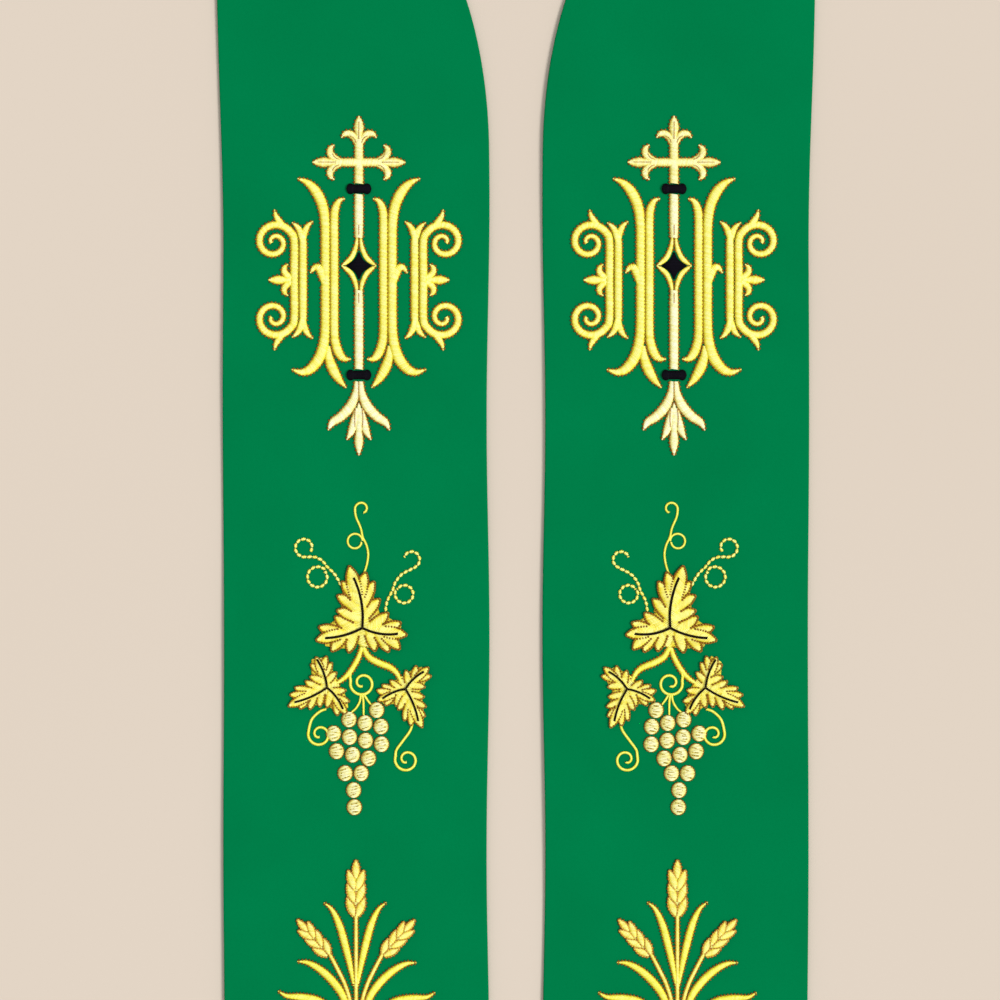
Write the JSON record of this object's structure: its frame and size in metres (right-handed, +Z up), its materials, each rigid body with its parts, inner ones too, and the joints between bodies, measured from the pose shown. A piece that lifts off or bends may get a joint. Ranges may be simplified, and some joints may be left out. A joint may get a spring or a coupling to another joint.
{
  "type": "clerical stole",
  "caption": "Long green cloth stole laid flat, two bands joined at the nape, with gold satin-stitch cross, scrollwork, vine and wheat.",
  "frame": {"origin": "centre of the object's box on the surface that it lies on", "axes": "+Z up from the surface, +Y along the bands towards the neck, +X towards the band on the right as the front is seen"},
  "size_m": [0.34, 1.08, 0.002],
  "materials": {
    "green_cloth": "matte, fine plain weave"
  },
  "bodies": {
    "root": {"band_left": "green_cloth", "band_right": "green_cloth"}
  },
  "joints": []
}
